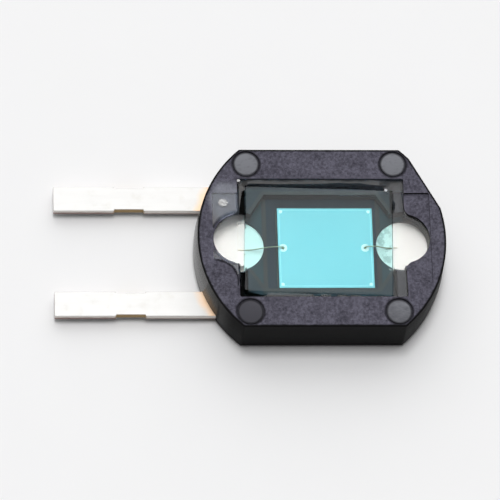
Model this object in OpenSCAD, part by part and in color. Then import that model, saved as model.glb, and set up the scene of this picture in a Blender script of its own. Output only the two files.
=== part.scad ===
// Photodiode in a moulded two-lead package.
// A black body is moulded round a pair of stamped leads. A silicon die is glued in its window, wired to
// the leads in two round wells, potted in clear resin and covered by a blue-green filter plate.
// The origin is the middle of the base, +Z is up and the leads point to -X. Units are millimetres.

/* [Body] */
// Wall between the pocket and a round end, at the parting line
end_wall = 0.51; // [0.45:0.01:0.8]
// Wall between the filter's seat and a flat, at the parting line
side_wall = 0.98; // [0.9:0.01:1.1]
// Height of the parting line, which is the top face of the leads
parting_z = 0.4; // [0.35:0.01:0.5]
// Draft of the outer walls, in degrees
draft = 3; // [1:0.5:4]
// Depth that the index corner cuts into the round end
key_depth = 0.11; // [0.08:0.01:0.16]
// Direction that the index corner faces, in degrees from +X
key_turn = 29; // [26:1:34]

/* [Witness marks of the mould's pins] */
// Diameter of a mark's raised disc
mark_d = 0.74; // [0.5:0.02:0.8]
// Width of the groove round the disc
mark_groove_w = 0.035; // [0.02:0.005:0.06]
// Depth of the groove below the top face
mark_groove_depth = 0.05; // [0.03:0.01:0.1]
// Depth of the disc below the top face
mark_sink = 0.012; // [0.005:0.001:0.025]
// Distance between the marks along X
mark_pitch = 4.32; // [3.8:0.02:4.4]
// Wall between a mark's groove and the top edge of its flat
mark_edge = 0.058; // [0.02:0.002:0.1]

/* [Window] */
// Room in the chamber at each end of the die
chamber_end = 0.65; // [0.5:0.01:0.75]
// Room in the chamber along each side of the die
chamber_side = 0.22; // [0.2:0.01:0.25]
// Height from the die to the filter's seat, for the loops of the wires
loop_room = 0.21; // [0.18:0.01:0.3]
// Width of the ledge at each end of the filter's seat
ledge_end = 0.4; // [0.36:0.01:0.5]
// Width of the ledge along each side of the filter's seat
ledge_side = 0.38; // [0.34:0.01:0.42]
// Length that each corner of the die chamber is cut back along X
chamber_corner_x = 0.4; // [0.3:0.02:0.5]
// Length that each corner of the die chamber is cut back along Y
chamber_corner_y = 0.6; // [0.4:0.02:0.65]
// Thickness of plastic between the leads and the chamber's floor
floor_cover = 0.12; // [0.08:0.01:0.15]
// Diameter of the wells over the bond pads
well_d = 1.52; // [1.3:0.02:1.54]
// Distance of a well's middle inside the end of the seat
well_inset = 0.04; // [0.02:0.01:0.1]
// Width of the shallow pocket along Y
pocket_w = 2.8; // [2.4:0.02:2.8]
// Length of the pocket beyond each well
pocket_end = 0.02; // [0.01:0.005:0.03]
// Depth of the shallow pocket
pocket_depth = 0.08; // [0.04:0.01:0.1]

/* [Leads] */
// Width of a lead
lead_w = 0.76; // [0.5:0.02:0.8]
// Thickness of a lead
lead_t = 0.25; // [0.15:0.01:0.3]
// Distance between the two leads
lead_pitch = 3.3; // [3.2:0.05:3.6]
// Length of the leads beyond the round end
lead_out = 4.08; // [3.5:0.02:16]
// Distance of the sheared stretch's middle from the leads' tips
shear_from_tip = 2.22; // [1:0.02:2.4]
// Length of the stretch where the tie between the leads was sheared off
shear_l = 0.86; // [0.4:0.02:1]
// Depth of the sheared stretch below each edge of a lead
shear_depth = 0.045; // [0.01:0.005:0.08]
// Rim of a bond pad that the moulding covers
pad_rim = 0.15; // [0.05:0.01:0.2]

/* [Die] */
// Length of the die along X
die_l = 2.8; // [2.4:0.02:2.9]
// Width of the die along Y
die_w = 2.5; // [2:0.02:2.6]
// Thickness of the die
die_t = 0.3; // [0.2:0.01:0.34]
// Offset of the die from the middle along X
die_x = 0.14; // [0:0.01:0.16]
// Offset of the die from the middle along Y
die_y = -0.15; // [-0.18:0.01:0.1]
// Thickness of the adhesive under the die
attach_t = 0.02; // [0.01:0.005:0.04]
// Width of the adhesive's rim round the die
attach_rim = 0.04; // [0.01:0.01:0.06]
// Thickness of the metal film on the die
film_t = 0.012; // [0.006:0.001:0.02]
// Distance of the film's border from the die's edge
border_inset = 0.05; // [0.03:0.01:0.1]
// Width of the film's border
border_w = 0.03; // [0.02:0.005:0.05]
// Diameter of the film's spot in each corner of the border
spot_d = 0.11; // [0.06:0.01:0.14]
// Diameter of a bond pad on the die
die_pad_d = 0.24; // [0.16:0.01:0.26]
// Distance of the cathode's bond pad from the die's edge
cathode_pad_inset = 0.15; // [0.14:0.01:0.3]
// Distance of the anode's bond pad from the die's edge
anode_pad_inset = 0.24; // [0.14:0.01:0.3]

/* [Bond wires] */
// Diameter of the wire
wire_d = 0.032; // [0.02:0.002:0.05]
// Diameter of the ball on the die
ball_d = 0.09; // [0.07:0.01:0.14]
// Height of the ball
ball_h = 0.035; // [0.02:0.005:0.05]
// Gap between the top of a loop and the filter
loop_gap = 0.045; // [0.02:0.005:0.06]
// Distance from the ball to the top of the loop, along the wire's run
loop_bend = 0.12; // [0.08:0.01:0.2]
// Length of wire that lies flat on the lead
stitch_l = 0.12; // [0.08:0.01:0.2]
// Offset of the cathode wire's end from the middle of its well, along Y
cathode_end_y = -0.11; // [-0.2:0.01:0.2]
// Offset of the anode wire's end from the middle of its well, along Y
anode_end_y = -0.03; // [-0.2:0.01:0.2]
// Distance that the anode wire stops short of the middle of its well
anode_end_short = 0.13; // [0:0.01:0.2]

/* [Filter] */
// Thickness of the filter plate
filter_t = 0.35; // [0.3:0.01:0.36]
// Depth of the plate's top below the body's top
filter_sink = 0.1; // [0.08:0.01:0.12]
// Gap between the plate and each end of the seat
filter_gap_end = 0.28; // [0.24:0.01:0.32]
// Gap between the plate and each side of the seat
filter_gap_side = 0.2; // [0.18:0.01:0.3]
// Turn of the plate in its seat, in degrees
filter_turn = -2; // [-2.5:0.5:2.5]
// Offset of the plate from the middle along X
filter_x = -0.09; // [-0.1:0.01:0.1]
// Offset of the plate from the middle along Y
filter_y = -0.06; // [-0.07:0.01:0.07]

/* [Resin] */
// Depth of the resin's level below the plate's top
resin_drop = 0.1; // [0.05:0.01:0.2]
// Depth of the overflow's top below the body's top
spill_sink = 0.015; // [0.01:0.005:0.03]
// Diameter of the round overflow
spill_d = 1.24; // [1.16:0.02:1.3]
// Distance of the overflow's middle from each wall of the pocket's corner
spill_inset = 0.4; // [0.36:0.01:0.4]
// How far the overflow laps over the seat's edge
spill_lap = 0.1; // [0.06:0.01:0.12]

/* [Hidden] */
$fn = 96;
eps = 0.01;

// Heights, stacked up from the leads
floor_z = parting_z + floor_cover;
die_z = floor_z + attach_t;
die_top_z = die_z + die_t;
seat_z = die_top_z + loop_room;
filter_top_z = seat_z + filter_t;
body_h = filter_top_z + filter_sink;
pocket_z = body_h - pocket_depth;
resin_z = filter_top_z - resin_drop;

// Lengths and widths, stacked outwards from the die
chamber_l = die_l + 2 * chamber_end;
chamber_w = die_w + 2 * chamber_side;
seat_l = chamber_l + 2 * ledge_end;
seat_w = chamber_w + 2 * ledge_side;
filter_l = seat_l - 2 * filter_gap_end;
filter_w = seat_w - 2 * filter_gap_side;
well_x = seat_l / 2 - well_inset;
pad_r = well_d / 2 + pad_rim;
pocket_l = 2 * (well_x + well_d / 2 + pocket_end);
body_d = pocket_l + 2 * end_wall;
body_w = seat_w + 2 * side_wall;
key_reach = body_d / 2 - key_depth;
lead_reach = body_d / 2 + lead_out;
lead_y = lead_pitch / 2;
shear_x = shear_from_tip - lead_reach;
top_flat_y = body_w / 2 - (body_h - parting_z) * tan(draft);
mark_r = mark_d / 2 + mark_groove_w;
mark_y = top_flat_y - mark_edge - mark_r;
cathode_pad_x = die_x - die_l / 2 + cathode_pad_inset;
anode_pad_x = die_x + die_l / 2 - anode_pad_inset;

// A block that stands on the height z, centred on the Z axis
module block(l, w, z, h) {
    translate([-l / 2, -w / 2, z]) cube([l, w, h]);
}

// What lies outside a drafted wall whose foot is reach away from the axis, in the direction turn
module beyond_wall(turn, reach, h) {
    rotate([0, 0, turn])
        translate([reach, 0, 0])
            rotate([0, -draft, 0])
                translate([0, -body_d, -h]) cube([body_d, 2 * body_d, 3 * h]);
}

// One half of the moulding's outside, from the parting line at z = 0 up to h
module mould_half(h) {
    difference() {
        cylinder(h = h, r1 = body_d / 2, r2 = body_d / 2 - h * tan(draft));
        for (turn = [-90, 90]) beyond_wall(turn, body_w / 2, h);
        beyond_wall(key_turn, key_reach, h);
    }
}

// The die chamber, a rectangle with its corners cut back
module chamber_outline() {
    x = chamber_l / 2;
    y = chamber_w / 2;
    polygon([
        [x, y - chamber_corner_y], [x - chamber_corner_x, y],
        [chamber_corner_x - x, y], [-x, y - chamber_corner_y],
        [-x, chamber_corner_y - y], [chamber_corner_x - x, -y],
        [x - chamber_corner_x, -y], [x, chamber_corner_y - y]
    ]);
}

// The hollow of the window: pocket, filter seat, die chamber and the two wells
module window() {
    block(pocket_l, pocket_w, pocket_z, pocket_depth + eps);
    block(seat_l, seat_w, seat_z, body_h - seat_z + eps);
    translate([0, 0, floor_z]) linear_extrude(body_h - floor_z + eps) chamber_outline();
    for (side = [-1, 1])
        translate([side * well_x, 0, parting_z]) cylinder(h = body_h - parting_z + eps, d = well_d);
}

// The groove and the sunk disc that a mould pin leaves in the top face
module witness_mark() {
    translate([0, 0, body_h - mark_sink]) cylinder(h = mark_sink + eps, r = mark_r);
    translate([0, 0, body_h - mark_groove_depth])
        difference() {
            cylinder(h = mark_groove_depth, r = mark_r);
            translate([0, 0, -eps]) cylinder(h = mark_groove_depth + 2 * eps, d = mark_d);
        }
}

module package_body() {
    color([0.12, 0.12, 0.14])
        difference() {
            translate([0, 0, parting_z])
                union() {
                    mould_half(body_h - parting_z);
                    mirror([0, 0, 1]) mould_half(parting_z);
                }
            window();
            for (side_x = [-1, 1], side_y = [-1, 1])
                translate([side_x * mark_pitch / 2, side_y * mark_y, 0]) witness_mark();
            cathode_lead();
            anode_lead();
        }
}

// A lead on the side of Y that side gives: the blade, its sheared stretch, the arm and the bond pad at pad_x
module lead(side, pad_x) {
    translate([0, 0, parting_z - lead_t]) {
        difference() {
            translate([-lead_reach, side * lead_y - lead_w / 2, 0])
                cube([lead_reach + pad_x + lead_w / 2, lead_w, lead_t]);
            for (edge = [-1, 1])
                translate([shear_x, side * lead_y + edge * lead_w / 2, -eps])
                    block(shear_l, 2 * shear_depth, 0, lead_t + 2 * eps);
        }
        translate([pad_x, side * lead_y / 2, 0]) block(lead_w, lead_y, 0, lead_t);
        translate([pad_x, 0, 0]) cylinder(h = lead_t, r = pad_r);
    }
}

module cathode_lead() {
    color([0.86, 0.85, 0.82]) lead(1, -well_x);
}

module anode_lead() {
    color([0.86, 0.85, 0.82]) lead(-1, well_x);
}

module die_attach() {
    color([0.55, 0.52, 0.48])
        translate([die_x, die_y, 0])
            block(die_l + 2 * attach_rim, die_w + 2 * attach_rim, floor_z, attach_t);
}

module photodiode_die() {
    border_l = die_l - 2 * border_inset;
    border_width = die_w - 2 * border_inset;
    color([0.3, 0.78, 0.84]) {
        translate([die_x, die_y, 0]) {
            block(die_l, die_w, die_z, die_t);
            difference() {
                block(border_l, border_width, die_top_z, film_t);
                block(border_l - 2 * border_w, border_width - 2 * border_w, die_top_z - eps, film_t + 2 * eps);
            }
            for (side_x = [-1, 1], side_y = [-1, 1])
                translate([side_x * (border_l - spot_d) / 2, side_y * (border_width - spot_d) / 2, die_top_z])
                    cylinder(h = film_t, d = spot_d);
        }
        for (x = [cathode_pad_x, anode_pad_x])
            translate([x, die_y, die_top_z]) cylinder(h = film_t, d = die_pad_d);
    }
}

// Height of a wire above its landing, as a share of the loop's height, at a share t of the way down
function fall(t) = (1 + cos(180 * t)) / 2;

// A bond wire as one swept solid: the ball on the die, the loop, and the end that lies flat on the lead.
// The wire lies in the upright plane through start and finish, so a ring turns about one level line.
module bond_wire(start, finish) {
    sides = 8;
    rise_steps = 5;
    fall_steps = 10;
    flat_turn = 180 / sides;
    wire_r = wire_d / 2;
    run = norm(finish - start) - stitch_l;
    along = (finish - start) / norm(finish - start);
    ahead = [along[0], along[1], 0];
    level = [-along[1], along[0], 0];
    up = [0, 0, 1];
    foot = [start[0], start[1], die_top_z + film_t];
    neck = foot + ball_h * up;
    rise = seat_z - loop_gap - wire_r - neck[2];
    landing_z = parting_z + wire_r * cos(flat_turn);
    drop = neck[2] + rise - landing_z;
    end = [finish[0], finish[1], landing_z];
    // The middle of the wire: the ball, a quarter turn up to the top of the loop, the fall and the flat end
    middle = concat(
        [foot, foot + ball_h / 2 * up],
        [
            for (i = [0:rise_steps])
                let (a = 90 * i / rise_steps)
                neck + loop_bend * (1 - cos(a)) * ahead + rise * sin(a) * up
        ],
        [
            for (i = [1:fall_steps])
                let (t = i / fall_steps)
                neck + (loop_bend + (run - loop_bend) * t) * ahead + (rise - drop * (1 - fall(t))) * up
        ],
        [end]
    );
    last = len(middle) - 1;
    // A ring faces along the line between its neighbours
    way = [for (i = [0:last]) middle[min(i + 1, last)] - middle[max(i - 1, 0)]];
    radius = [for (i = [0:last]) i < 2 ? ball_d / 2 : wire_r];
    points = [
        for (i = [0:last], k = [0:sides - 1])
            let (a = flat_turn + 360 * k / sides, across = cross(way[i], level) / norm(way[i]))
            middle[i] + radius[i] * (cos(a) * level + sin(a) * across)
    ];
    polyhedron(points, concat(
        [[for (k = [0:sides - 1]) k]],
        [
            for (i = [0:last - 1], k = [0:sides - 1])
                let (a = i * sides + k, b = i * sides + (k + 1) % sides)
                each [[a, a + sides, b + sides], [a, b + sides, b]]
        ],
        [[for (k = [sides - 1:-1:0]) last * sides + k]]
    ));
}

module cathode_wire() {
    color([0.85, 0.7, 0.35]) bond_wire([cathode_pad_x, die_y], [-well_x, cathode_end_y]);
}

module anode_wire() {
    color([0.85, 0.7, 0.35]) bond_wire([anode_pad_x, die_y], [well_x - anode_end_short, anode_end_y]);
}

module filter_plate() {
    color([0.25, 0.62, 0.62])
        translate([filter_x, filter_y, 0])
            rotate([0, 0, filter_turn]) block(filter_l, filter_w, seat_z, filter_t);
}

// The overflow fills the pocket's corner beside the cathode's well. It laps over the seat's edge, where it
// came from, and stops at the well's rim.
module overflow() {
    difference() {
        intersection() {
            window();
            translate([spill_inset - pocket_l / 2, pocket_w / 2 - spill_inset, resin_z - eps])
                cylinder(h = body_h - spill_sink - resin_z + eps, d = spill_d);
        }
        block(seat_l - 2 * spill_lap, seat_w, seat_z, body_h);
        translate([-well_x, 0, parting_z]) cylinder(h = body_h, d = well_d);
    }
}

// The resin fills the window up to its level, round all that it seals in, and has run over at one corner
module potting_resin() {
    color([0.62, 0.62, 0.64])
        difference() {
            union() {
                intersection() {
                    window();
                    block(body_d, body_d, 0, resin_z);
                }
                overflow();
            }
            filter_plate();
            die_attach();
            photodiode_die();
            cathode_wire();
            anode_wire();
        }
}

package_body();
cathode_lead();
anode_lead();
die_attach();
photodiode_die();
cathode_wire();
anode_wire();
filter_plate();
potting_resin();
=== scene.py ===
"""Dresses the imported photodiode: rounded edges, finishes, poured resin, soft studio light and the camera.

Sizes are in millimetres until a piece is finished. Then its mesh is brought to metres, in the frame's own
place.
"""

from __future__ import annotations

import logging
import math
from collections.abc import Iterable
from dataclasses import dataclass, field
from enum import Enum

import bmesh
import bpy
from bmesh.types import BMEdge, BMesh, BMVert
from bpy.types import ID, Material, Mesh, Node, NodeSocket, Object
from mathutils import Matrix, Vector

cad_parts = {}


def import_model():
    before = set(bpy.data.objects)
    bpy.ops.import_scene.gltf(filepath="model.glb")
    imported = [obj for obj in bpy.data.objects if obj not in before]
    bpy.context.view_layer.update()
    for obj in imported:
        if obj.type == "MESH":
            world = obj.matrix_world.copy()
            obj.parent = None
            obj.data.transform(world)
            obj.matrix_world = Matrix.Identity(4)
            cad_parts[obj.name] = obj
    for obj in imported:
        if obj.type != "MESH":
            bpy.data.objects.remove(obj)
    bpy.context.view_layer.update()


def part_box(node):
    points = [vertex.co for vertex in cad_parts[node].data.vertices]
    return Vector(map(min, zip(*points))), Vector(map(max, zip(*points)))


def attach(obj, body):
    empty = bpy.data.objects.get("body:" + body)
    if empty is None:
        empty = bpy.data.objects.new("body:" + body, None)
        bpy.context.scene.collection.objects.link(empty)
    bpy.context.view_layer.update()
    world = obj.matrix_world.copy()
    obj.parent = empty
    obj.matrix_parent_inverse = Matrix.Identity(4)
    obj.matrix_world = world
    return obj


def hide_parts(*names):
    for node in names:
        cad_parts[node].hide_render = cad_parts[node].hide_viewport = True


MM = 0.001
BODY = "root"
UP = Vector((0, 0, 1))
LOG = logging.getLogger("photodiode")

# How far a cutting solid stands out above the top face, how far it reaches past what it cuts, and how far two
# solids lap
OVER = 0.2
PAST = 0.1
LAP = 0.02
# How far two faces are kept out of one plane, and what still counts as level
SKIM = 0.001
LEVEL = 1e-6

Colour = tuple[float, float, float]
Triple = tuple[float, float, float]
Point = tuple[float, float]
# Where a fade starts and where it is complete
Span = tuple[float, float]


@dataclass(frozen=True)
class Round:
    """A circle in plan, in millimetres."""

    x: float
    y: float
    r: float

    def beyond(self, x: float, y: float) -> float:
        """How far a place lies outside the circle, and less than 0 inside it."""
        return math.hypot(x - self.x, y - self.y) - self.r


# The shore of the resin's film in the bay below the left well is a piece of this circle, and the film sets in
# within this span along Y
BAY = Round(-3.15, -1.35, 0.69)
BAY_BACK: Span = (-0.35, -0.5)


class Side(Enum):
    """Which way along X or Y a paired feature lies."""

    NEGATIVE = -1
    POSITIVE = 1


CORNERS = tuple((along_x.value, along_y.value) for along_x in Side for along_y in Side)


class Cut(Enum):
    """How one solid changes another."""

    REMOVE = "DIFFERENCE"
    KEEP_COMMON = "INTERSECT"
    ADD = "UNION"


# Shader graph


class Value:
    """A number that a shader works out at each point, with Python's operators."""

    def __init__(self, graph: Graph, socket: NodeSocket) -> None:
        """Wraps an output socket of the graph."""
        self.graph = graph
        self.socket = socket

    def _math(self, operation: str, first: Value | float, second: Value | float = 0.0) -> Value:
        """Adds a Math node.

        Args:
            operation: Name of the operation.
            first: First operand.
            second: Second operand, where the operation has one.

        Returns:
            The result.
        """
        node = self.graph.add("ShaderNodeMath", {"operation": operation}, {0: first, 1: second})
        return Value(self.graph, node.outputs[0])

    def __add__(self, other: Value | float) -> Value:
        """Sum."""
        return self._math("ADD", self, other)

    __radd__ = __add__

    def __sub__(self, other: Value | float) -> Value:
        """Difference."""
        return self._math("SUBTRACT", self, other)

    def __rsub__(self, other: float) -> Value:
        """Difference from a number."""
        return self._math("SUBTRACT", other, self)

    def __mul__(self, other: Value | float) -> Value:
        """Product."""
        return self._math("MULTIPLY", self, other)

    __rmul__ = __mul__

    def __pow__(self, other: float) -> Value:
        """Power."""
        return self._math("POWER", self, other)

    def __abs__(self) -> Value:
        """Size without its sign."""
        return self._math("ABSOLUTE", self)

    def least(self, other: Value | float) -> Value:
        """The smaller of two values."""
        return self._math("MINIMUM", self, other)

    def most(self, other: Value | float) -> Value:
        """The larger of two values."""
        return self._math("MAXIMUM", self, other)

    def rise(self, start: float, end: float) -> Value:
        """A smooth step.

        Args:
            start: Where the result is 0.
            end: Where the result is 1. It may lie below start.

        Returns:
            A value from 0 to 1.
        """
        low, high = sorted((start, end))
        node = self.graph.add(
            "ShaderNodeMapRange",
            {"interpolation_type": "SMOOTHSTEP"},
            {"Value": self, "From Min": low, "From Max": high},
        )
        step = Value(self.graph, node.outputs[0])
        return step if end > start else 1 - step


class Graph:
    """The node tree of one material."""

    def __init__(self, name: str) -> None:
        """Starts an empty material of that name."""
        self.material = bpy.data.materials.new(name)
        self.material.use_nodes = True
        self.tree = self.material.node_tree
        self.tree.nodes.clear()
        self._place: NodeSocket | None = None

    def add(self, kind: str, settings: dict | None = None, inputs: dict | None = None) -> Node:
        """Adds any node.

        Args:
            kind: The node's type.
            settings: Its own settings, set first.
            inputs: Values or links of its sockets, by name or number.

        Returns:
            The node.
        """
        node = self.tree.nodes.new(kind)
        for key, setting in (settings or {}).items():
            setattr(node, key, setting)
        for key, source in (inputs or {}).items():
            self.feed(node.inputs[key], source)
        return node

    def feed(self, socket: NodeSocket, source: object) -> None:
        """Links a socket to a value or a socket, or sets it to a constant."""
        if isinstance(source, Value):
            source = source.socket
        if isinstance(source, NodeSocket):
            self.tree.links.new(source, socket)
        elif isinstance(source, tuple) and len(source) == 3 and socket.type == "RGBA":
            socket.default_value = (*source, 1.0)
        else:
            socket.default_value = source

    def place(self) -> NodeSocket:
        """The piece's own coordinates, in millimetres."""
        if self._place is None:
            own = self.add("ShaderNodeTexCoord").outputs["Object"]
            to_mm = {"Vector": own, "Scale": 1 / MM}
            self._place = self.add("ShaderNodeVectorMath", {"operation": "SCALE"}, to_mm).outputs[0]
        return self._place

    def _split(self, vector: NodeSocket) -> tuple[Value, Value, Value]:
        """The three parts of a vector, as values."""
        split = self.add("ShaderNodeSeparateXYZ", inputs={0: vector})
        return tuple(Value(self, out) for out in split.outputs)

    def along(self) -> tuple[Value, Value, Value]:
        """The three coordinates of place, as values."""
        return self._split(self.place())

    def facing(self) -> tuple[Value, Value, Value]:
        """The three parts of the surface's own direction, as values."""
        return self._split(self.add("ShaderNodeNewGeometry").outputs["True Normal"])

    def noise(
        self, per_mm: float, detail: float = 2.0, stretch: Triple = (1, 1, 1), roughness: float = 0.5
    ) -> Value:
        """A cloudy pattern from 0 to 1.

        Args:
            per_mm: Number of blotches in a millimetre.
            detail: Octaves of finer pattern.
            stretch: Scale along each axis.
            roughness: Share of the finer octaves.

        Returns:
            The pattern's value.
        """
        turned = self.add("ShaderNodeMapping", inputs={"Vector": self.place(), "Scale": stretch})
        node = self.add(
            "ShaderNodeTexNoise",
            inputs={"Vector": turned.outputs[0], "Scale": per_mm, "Detail": detail, "Roughness": roughness},
        )
        return Value(self, node.outputs[0])

    def blend(self, share: Value, first: object, second: object) -> NodeSocket:
        """A colour between two colours.

        Args:
            share: How much of the second colour shows.
            first: Colour or socket.
            second: Colour or socket.

        Returns:
            The mixed colour.
        """
        node = self.add("ShaderNodeMix", {"data_type": "RGBA"}, {0: share, 6: first, 7: second})
        return node.outputs[2]

    def bump(self, height: Value, depth_mm: float, strength: float = 1.0) -> NodeSocket:
        """A surface direction tilted by a height pattern.

        Args:
            height: The pattern, from 0 to 1.
            depth_mm: Depth of the pattern.
            strength: How much of the tilt is used.

        Returns:
            The direction for a shader.
        """
        node = self.add(
            "ShaderNodeBump", inputs={"Strength": strength, "Distance": depth_mm * MM, "Height": height}
        )
        return node.outputs[0]

    def finish(self, **sockets: object) -> Material:
        """Adds the shader that the material ends in.

        Args:
            sockets: Inputs of the Principled shader, with _ for a space.

        Returns:
            The material.
        """
        named = {key.replace("_", " "): source for key, source in sockets.items()}
        shader = self.add("ShaderNodeBsdfPrincipled", inputs=named)
        self.add("ShaderNodeOutputMaterial", inputs={"Surface": shader.outputs[0]})
        return self.material


# Finishes


@dataclass(frozen=True)
class MouldedPlastic:
    """Black filled moulding compound with smoother discs where the mould's pins touched it."""

    shell: Shell
    window: Window
    dark: Colour = (0.042, 0.040, 0.053)
    light: Colour = (0.142, 0.137, 0.178)
    # Painted sheen and painted shade of the discs, brighter towards the back
    lit_disc: Colour = (0.19, 0.195, 0.215)
    shaded_disc: Colour = (0.062, 0.061, 0.072)
    # Near black: partly the moulding's own colour, partly painted shade on the walls, the rim and the grooves
    # round the discs
    wall: Colour = (0.008, 0.008, 0.0085)
    ledge: Colour = (0.098, 0.108, 0.132)
    chamber_wall: Colour = (0.150, 0.130, 0.138)
    chamber_floor: Colour = (0.095, 0.105, 0.135)
    chamber_end: Colour = (0.115, 0.150, 0.175)
    # Painted light bounced off the pads onto the wells' walls
    bounce_lit: Colour = (0.30, 0.27, 0.24)
    # Black of painted shade, for the gaps beside the plate and the film's shore
    gap_shade: Colour = (0.003, 0.003, 0.003)
    strip: Colour = (0.105, 0.112, 0.132)
    # Partly the resin's haze, partly painted sheen
    haze_and_sheen: Colour = (0.215, 0.245, 0.305)
    # Places, and spans in which one colour gives way to another
    disc_x: float = 2.16
    disc_y: float = 2.309
    disc_r: float = 0.37
    die_x: float = 0.045
    step_x: float = 1.675
    step_edge: Span = (0.075, 0.045)
    paler_floor: Span = (1.70, 1.78)
    floor_to_ledge: Span = (0.7, 0.9)
    brown_mouth: Span = (0.14, 0.07)
    plate_x: float = -0.05
    plate_y: float = 0.02
    plate_ends: Span = (2.15, 2.09)
    plate_sides: Span = (1.73, 1.66)
    chipped_slope: float = 0.3
    chipped: Span = (-2.10, -2.20)
    right_strip: Span = (2.16, 2.22)
    back_strip: Span = (1.72, 1.78)
    back_strip_x: Span = (-2.2, 1.5)
    bounce_lit_z: Span = (0.85, 0.45)
    bounce_lit_x: Span = (2.3, 2.6)
    right_end: Span = (2.8, 3.1)
    right_end_z: Span = (1.42, 1.0)
    seat_back: Span = (1.78, 1.84)
    seat_back_x: Span = (0.2, 1.8)
    chamber_to_seat: Span = (0.95, 1.1)
    skin_depth: Span = (0.035, 0.025)
    hollow_depth: Span = (0.14, 0.24)
    hollow_y: Span = (2.1, 2.0)
    hollow_r: Span = (3.35, 3.28)
    wet_x: float = -2.78
    wet_y: float = 1.15
    wet_squeeze: float = 1.25
    wet_r: Span = (0.86, 0.56)
    wet_right: Span = (-2.43, -2.46)
    wet_z: Span = (0.38, 0.44)
    climbed_lit_y: Span = (1.70, 1.76)
    film_front: Span = (-1.56, -1.46)
    film_left: Span = (-3.2, -3.05)
    film_right: Span = (-2.3, -2.4)
    shore_line: float = 0.02
    shore_fade: Span = (0.04, 0.01)

    def _from_rim(self, graph: Graph) -> Value:
        """How far inside the top face's outline a place lies, in millimetres.

        Args:
            graph: The material's graph.

        Returns:
            The distance.
        """
        x, y, _ = graph.along()
        shell = self.shell
        round_end = shell.radius - (x**2 + y**2) ** 0.5
        key = shell.radius - shell.key_depth - (x * math.cos(shell.key_turn) + y * math.sin(shell.key_turn))
        return round_end.least(shell.half_width - abs(y)).least(key) - shell.leaned_in

    def _from_pin(self, graph: Graph) -> Value:
        """How far a place lies from the middle of the nearest disc, in millimetres."""
        x, y, _ = graph.along()
        return ((abs(x) - self.disc_x) ** 2 + (abs(y) - self.disc_y) ** 2) ** 0.5

    def _bay(self, graph: Graph) -> tuple[Value, Value]:
        """The film of resin in the bay between the left well and the seat's end.

        Args:
            graph: The material's graph.

        Returns:
            How far behind the film's shore a place lies, in millimetres, and 1 where there is a film.
        """
        x, y, _ = graph.along()
        bay = ((x - BAY.x) ** 2 + (y - BAY.y) ** 2) ** 0.5 - BAY.r + 0.06 * (graph.noise(6, 2) - 0.5)
        near = y.rise(*BAY_BACK) * y.rise(*self.film_front) * x.rise(*self.film_left)
        return bay, near * x.rise(*self.film_right)

    def _top(self, graph: Graph, grain: Value, disc: Value) -> NodeSocket:
        """Colour of the mottled top face and of the discs on it.

        Args:
            graph: The material's graph.
            grain: The fine pattern.
            disc: 1 on the discs and 0 off them.

        Returns:
            The colour.
        """
        x, y, _ = graph.along()
        cloudy = (grain * 0.9 + graph.noise(2.2, 3) * 0.35).rise(0.36, 0.92)
        mottled = graph.blend(cloudy, self.dark, self.light)
        # The discs get a painted sheen that fades from the back towards the front left, where the disc is
        # painted in shade
        shade = (x + 1.6 * y).rise(-6.5, 2.0)
        scuffs = graph.noise(9, 5, (0.6, 1.5, 1), 0.7)
        pin = graph.blend(shade * (0.1 + 1.8 * scuffs), self.shaded_disc, self.lit_disc)
        # The rim and a ring round each disc are painted dark in the wall colour: painted shade along the
        # rounded rim and in the groove round each disc
        rim = (self._from_rim(graph) + 0.04 * graph.noise(7, 2)).rise(0.105, 0.055)
        ring = abs(self._from_pin(graph) - self.disc_r - 0.03 * graph.noise(5, 2)).rise(0.08, 0.03)
        return graph.blend(rim.most(0.7 * ring), graph.blend(disc, mottled, pin), self.wall)

    def _inside(self, graph: Graph, upper: Value) -> NodeSocket:
        """Colour inside the window, as it shows through the resin.

        Args:
            graph: The material's graph.
            upper: 1 on faces that look up and 0 on walls.

        Returns:
            The colour.
        """
        x, y, z = graph.along()
        window = self.window
        # A low step in the chamber's floor runs past both ends of the die, and the floor is paler beyond it
        past_die = abs(x - self.die_x)
        floor = graph.blend(past_die.rise(*self.paler_floor), self.chamber_floor, self.chamber_end)
        floor = graph.blend(abs(past_die - self.step_x).rise(*self.step_edge), floor, self.chamber_wall)
        # The ledge is browner along the chamber's eight-sided mouth
        past_end, past_side = abs(x) - window.chamber_l / 2, abs(y) - window.chamber_w / 2
        slope = math.atan2(window.chamber_corner_x, window.chamber_corner_y)
        past_corner = past_end * math.cos(slope) + (past_side + window.chamber_corner_y) * math.sin(slope)
        mouth = past_end.most(past_side).most(past_corner)
        ledge = graph.blend(mouth.rise(*self.brown_mouth), self.ledge, self.chamber_wall)
        # Beyond the plate the ledge is painted black at the left and at the front, as painted shade in the
        # gap beside the plate, and grey under the resin elsewhere
        in_length = abs(x - self.plate_x).rise(*self.plate_ends)
        in_width = abs(y - self.plate_y).rise(*self.plate_sides)
        whole = 1 - (self.chipped_slope * x + y).rise(*self.chipped)
        streak = x.rise(*self.right_strip).most(y.rise(*self.back_strip) * x.rise(*self.back_strip_x))
        ledge = graph.blend(in_length * in_width * whole, graph.blend(streak, self.gap_shade, self.strip), ledge)
        level = graph.blend(z.rise(*self.floor_to_ledge), floor, ledge)
        # The wells' walls are painted paler just above the pads: painted light, as if bounced off the bright
        # pads
        bounce_lit = z.rise(*self.bounce_lit_z) * abs(x).rise(*self.bounce_lit_x)
        bounce_lit = bounce_lit.most(x.rise(*self.right_end) * z.rise(*self.right_end_z))
        # The seat's wall is painted black as painted shade, except behind the plate, where it is grey
        hazed = y.rise(*self.seat_back) * x.rise(*self.seat_back_x)
        seat_wall = graph.blend(hazed, self.gap_shade, self.strip)
        wall = graph.blend(z.rise(*self.chamber_to_seat), self.chamber_wall, seat_wall)
        wall = graph.blend(bounce_lit, wall, self.bounce_lit)
        return graph.blend(upper, wall, level)

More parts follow.
